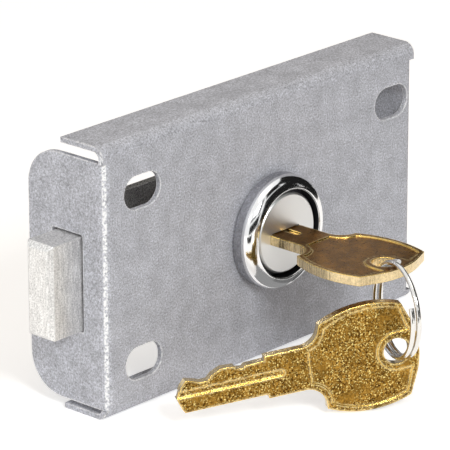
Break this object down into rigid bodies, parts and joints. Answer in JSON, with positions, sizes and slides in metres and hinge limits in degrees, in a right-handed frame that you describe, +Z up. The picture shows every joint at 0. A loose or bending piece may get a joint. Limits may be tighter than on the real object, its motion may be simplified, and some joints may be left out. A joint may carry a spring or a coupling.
{
  "type": "key cabinet lock",
  "caption": "Surface-mounted key cabinet lock: folded steel case, sliding square bolt, chromed key cylinder, and a second key on a split ring.",
  "frame": {"origin": "where the cylinder's axis meets the front face of the case, which is also the middle of the four screw slots", "axes": "+X along the case away from the bolt, +Y into the case away from the key, +Z up"},
  "size_m": [0.1023, 0.0676, 0.0571],
  "materials": {
    "zinc_plate": "bright zinc-plated sheet, finely grained",
    "bolt_steel": "bright drawn bar, plated",
    "slide_steel": "plated sheet",
    "rivet_steel": "plated, domed",
    "post_steel": "turned, plated",
    "washer_steel": "plated sheet",
    "clip_steel": "blackened spring steel",
    "chrome": "bright chrome plate",
    "nut_steel": "plated",
    "pin_steel": "hardened, ground",
    "plug_zinc": "die-cast zinc alloy",
    "satin_nickel": "satin nickel plate",
    "tumbler_brass": "stamped brass",
    "spring_steel": "spring wire",
    "cam_steel": "stamped, plated",
    "key_brass": "polished brass, finely milled edges",
    "ring_nickel": "nickel-plated spring wire"
  },
  "bodies": {
    "case_body": {"case": "zinc_plate", "cylinder_housing": "chrome", "cylinder_nut": "nut_steel", "lock_washer": "washer_steel", "stop_pin": "pin_steel", "guide_posts": "post_steel", "guide_washers": "washer_steel", "guide_clips": "clip_steel"},
    "plug_body": {"plug": "plug_zinc", "plug_face": "satin_nickel", "tumbler_1": "tumbler_brass", "tumbler_2": "tumbler_brass", "tumbler_3": "tumbler_brass", "tumbler_4": "tumbler_brass", "tumbler_5": "tumbler_brass", "tumbler_spring_1": "spring_steel", "tumbler_spring_2": "spring_steel", "tumbler_spring_3": "spring_steel", "tumbler_spring_4": "spring_steel", "tumbler_spring_5": "spring_steel", "stop_washer": "washer_steel", "cam": "cam_steel", "drive_pin": "pin_steel", "retaining_ring": "clip_steel"},
    "bolt_body": {"bolt_block": "bolt_steel", "slide_plate": "slide_steel", "bolt_rivets": "rivet_steel"},
    "lock_key_body": {"lock_key": "key_brass"},
    "ring_body": {"split_ring": "ring_nickel"},
    "spare_key_body": {"spare_key": "key_brass"}
  },
  "joints": [
    {"name": "key_turn", "type": "hinge", "parent": "case_body", "child": "plug_body", "pos_m": [0, 0, 0], "axis": [0, 1, 0], "range_deg": [0, 90]},
    {"name": "bolt_slide", "type": "slide", "parent": "case_body", "child": "bolt_body", "axis": [1, 0, 0], "range_m": [0, 0.01]},
    {"name": "key_withdraw", "type": "slide", "parent": "plug_body", "child": "lock_key_body", "axis": [0, -1, 0], "range_m": [0, 0.026]},
    {"name": "ring_swing", "type": "hinge", "parent": "lock_key_body", "child": "ring_body", "pos_m": [-0.0012, -0.0315, -0.0002], "axis": [-0.9121, 0.4099, 0], "range_deg": [0, 45]},
    {"name": "spare_swing", "type": "hinge", "parent": "ring_body", "child": "spare_key_body", "pos_m": [-0.00423, -0.03705, -0.01551], "axis": [0.4099, 0.9121, 0], "range_deg": [-70, 0]}
  ],
  "couplings": [
    {"joint": "key_turn", "follows": "bolt_slide", "rad_per_m": 157.08}
  ]
}
